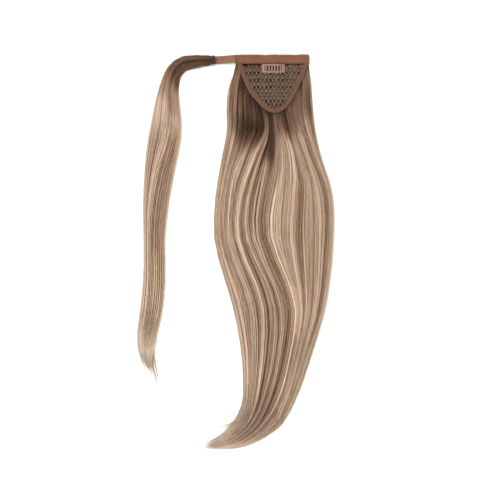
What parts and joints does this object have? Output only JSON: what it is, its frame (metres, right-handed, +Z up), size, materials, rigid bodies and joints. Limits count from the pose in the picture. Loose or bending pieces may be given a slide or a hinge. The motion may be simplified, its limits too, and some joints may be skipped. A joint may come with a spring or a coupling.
{
  "type": "ponytail hairpiece",
  "caption": "Wrap-around ponytail hairpiece lying flat, with a netted base, a snap clip, a side strap and a thin wrap strand beside the long hair.",
  "frame": {"origin": "middle of the rectangle that the hairpiece covers, on the surface that it lies on", "axes": "+Y from the tips of the hair towards the base's straight top band, +X towards the side away from the strap, +Z up, with the side of the base that faces the head turned up"},
  "size_m": [0.2426, 0.4928, 0.0124],
  "materials": {
    "tape": "woven tape, matt",
    "net": "knotted net, matt",
    "binding": "woven binding, matt",
    "hook_tape": "hook tape, fuzzy",
    "clip_enamel": "smooth enamel on sprung steel",
    "hair": "combed hair, brown with beige streaks, soft sheen"
  },
  "bodies": {
    "hairpiece": {"top_band": "tape", "net_panel": "net", "edge_binding": "binding", "wrap_strap": "hook_tape", "clip_frame": "clip_enamel", "hair_fall": "hair", "wrap_strand": "hair"},
    "comb": {"clip_comb": "clip_enamel"}
  },
  "joints": [
    {"name": "comb_snap", "type": "hinge", "parent": "hairpiece", "child": "comb", "pos_m": [0.0469, 0.23435, 0.00635], "axis": [-1, 0, 0], "range_deg": [0, 30]}
  ]
}
